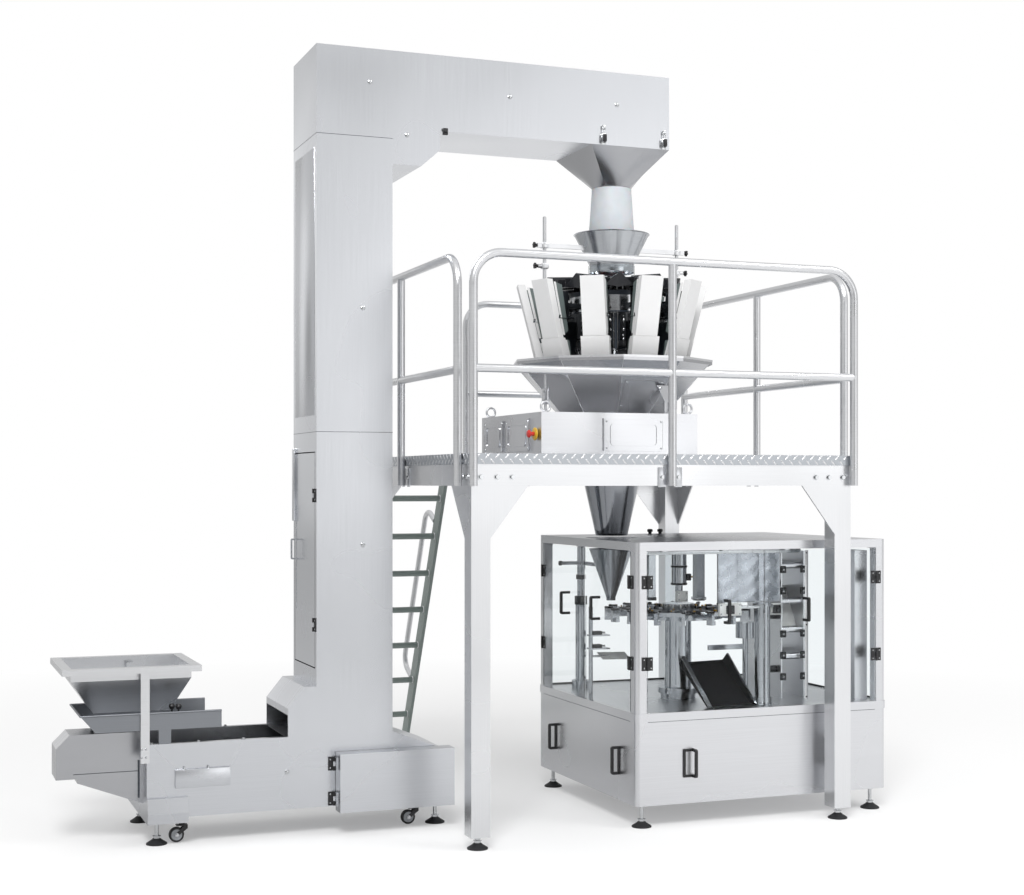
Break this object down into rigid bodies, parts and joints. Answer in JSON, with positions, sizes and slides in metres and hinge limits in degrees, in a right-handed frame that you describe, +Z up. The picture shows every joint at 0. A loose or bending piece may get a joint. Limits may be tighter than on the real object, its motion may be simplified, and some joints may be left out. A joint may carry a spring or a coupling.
{
  "type": "granule packaging machine",
  "caption": "Granule packing line: bucket elevator, work platform with a multi-head weigher, and a rotary bagging machine with clear guard doors below it.",
  "frame": {"origin": "underside of the platform's front left foot, at its middle, on the floor", "axes": "+X along the line from the infeed hopper to the bagging machine, +Y away from the operator, +Z up"},
  "size_m": [4.387, 3.2327, 4.061],
  "materials": {
    "brushed_stainless": "brushed",
    "bright_steel": "polished",
    "railing_tube": "satin",
    "checker_plate": "five-bar tread pattern",
    "ladder_paint": "satin",
    "white_cover": "satin",
    "white_sleeve": "soft silicone",
    "black_plastic": "fine grained",
    "black_rubber": "matte",
    "bag_chute_steel": "satin",
    "clear_acrylic": "clear"
  },
  "bodies": {
    "packaging_line": {"platform_legs": "brushed_stainless", "long_beams": "brushed_stainless", "cross_beams": "brushed_stainless", "deck_plate": "checker_plate", "railing_posts": "railing_tube", "top_rails": "railing_tube", "mid_rails": "railing_tube", "ladder_stringers": "ladder_paint", "ladder_rungs": "ladder_paint", "ladder_handrails": "railing_tube", "foot_pads": "black_rubber", "foot_spindles": "bright_steel", "elevator_base": "brushed_stainless", "infeed_trough": "brushed_stainless", "infeed_hopper": "brushed_stainless", "vibrating_tray": "brushed_stainless", "elevator_column": "brushed_stainless", "column_hood": "brushed_stainless", "elevator_head": "brushed_stainless", "discharge_chute": "brushed_stainless", "bucket_chain": "bright_steel", "chute_sleeve": "white_sleeve", "caster_plates": "bright_steel", "weigher_base": "brushed_stainless", "collecting_chute": "brushed_stainless", "weigher_core": "bright_steel", "feeder_pans": "brushed_stainless", "head_covers": "white_cover", "weigher_hoppers": "brushed_stainless", "infeed_cone": "bright_steel", "cone_stand": "bright_steel", "discharge_funnel": "bright_steel", "packer_cabinet": "brushed_stainless", "corner_posts": "brushed_stainless", "packer_roof": "brushed_stainless", "fixed_glazing": "clear_acrylic", "fixed_hardware": "black_plastic", "machine_posts": "bright_steel", "filling_funnel": "bright_steel", "bag_chute": "bag_chute_steel", "bag_magazine": "bright_steel"},
    "column_door": {"column_door": "brushed_stainless"},
    "drive_cover": {"drive_cover": "brushed_stainless"},
    "turntable": {"turntable": "bright_steel"},
    "door_front_left": {"door_pane_front_left": "clear_acrylic", "door_fittings_front_left": "black_plastic"},
    "door_front_right": {"door_pane_front_right": "clear_acrylic", "door_fittings_front_right": "black_plastic"},
    "door_side_near": {"door_pane_side_near": "clear_acrylic", "door_fittings_side_near": "black_plastic"},
    "door_side_far": {"door_pane_side_far": "clear_acrylic", "door_fittings_side_far": "black_plastic"},
    "caster_1": {"caster_fork_1": "black_plastic"},
    "wheel_1": {"caster_wheel_1": "black_rubber"},
    "caster_2": {"caster_fork_2": "black_plastic"},
    "wheel_2": {"caster_wheel_2": "black_rubber"},
    "caster_3": {"caster_fork_3": "black_plastic"},
    "wheel_3": {"caster_wheel_3": "black_rubber"},
    "caster_4": {"caster_fork_4": "black_plastic"},
    "wheel_4": {"caster_wheel_4": "black_rubber"}
  },
  "joints": [
    {"name": "front_left_guard_door_hinge", "type": "hinge", "parent": "packaging_line", "child": "door_front_left", "pos_m": [0.98, 0.103, 0.601], "axis": [0, 0, -1], "range_deg": [0, 110]},
    {"name": "front_right_guard_door_hinge", "type": "hinge", "parent": "packaging_line", "child": "door_front_right", "pos_m": [2.375, 0.103, 0.601], "axis": [0, 0, 1], "range_deg": [0, 8]},
    {"name": "side_near_guard_door_hinge", "type": "hinge", "parent": "packaging_line", "child": "door_side_near", "pos_m": [0.907, 0.176, 0.601], "axis": [0, 0, 1], "range_deg": [0, 110]},
    {"name": "side_far_guard_door_hinge", "type": "hinge", "parent": "packaging_line", "child": "door_side_far", "pos_m": [0.907, 1.386, 0.601], "axis": [0, 0, -1], "range_deg": [0, 110]},
    {"name": "column_door_hinge", "type": "hinge", "parent": "packaging_line", "child": "column_door", "pos_m": [-0.672, 0.625, 0.855], "axis": [0, 0, 1], "range_deg": [0, 110]},
    {"name": "drive_cover_hinge", "type": "hinge", "parent": "packaging_line", "child": "drive_cover", "pos_m": [-0.573, 0.584, 0.122], "axis": [0, 0, -1], "range_deg": [0, 90]},
    {"name": "turntable_turn", "type": "hinge", "parent": "packaging_line", "child": "turntable", "pos_m": [1.425, 0.64, 1.05], "axis": [0, 0, 1], "continuous": true},
    {"name": "caster_1_swivel", "type": "hinge", "parent": "packaging_line", "child": "caster_1", "pos_m": [-1.338, 0.672, 0.118], "axis": [0, 0, 1], "continuous": true},
    {"name": "caster_1_roll", "type": "hinge", "parent": "caster_1", "child": "wheel_1", "pos_m": [-1.364, 0.672, 0.0405], "axis": [0, 1, 0], "continuous": true},
    {"name": "caster_2_swivel", "type": "hinge", "parent": "packaging_line", "child": "caster_2", "pos_m": [-1.338, 1.25, 0.118], "axis": [0, 0, 1], "continuous": true},
    {"name": "caster_2_roll", "type": "hinge", "parent": "caster_2", "child": "wheel_2", "pos_m": [-1.364, 1.25, 0.0405], "axis": [0, 1, 0], "continuous": true},
    {"name": "caster_3_swivel", "type": "hinge", "parent": "packaging_line", "child": "caster_3", "pos_m": [-0.124, 0.672, 0.118], "axis": [0, 0, 1], "continuous": true},
    {"name": "caster_3_roll", "type": "hinge", "parent": "caster_3", "child": "wheel_3", "pos_m": [-0.15, 0.672, 0.0405], "axis": [0, 1, 0], "continuous": true},
    {"name": "caster_4_swivel", "type": "hinge", "parent": "packaging_line", "child": "caster_4", "pos_m": [-0.124, 1.25, 0.118], "axis": [0, 0, 1], "continuous": true},
    {"name": "caster_4_roll", "type": "hinge", "parent": "caster_4", "child": "wheel_4", "pos_m": [-0.15, 1.25, 0.0405], "axis": [0, 1, 0], "continuous": true}
  ]
}
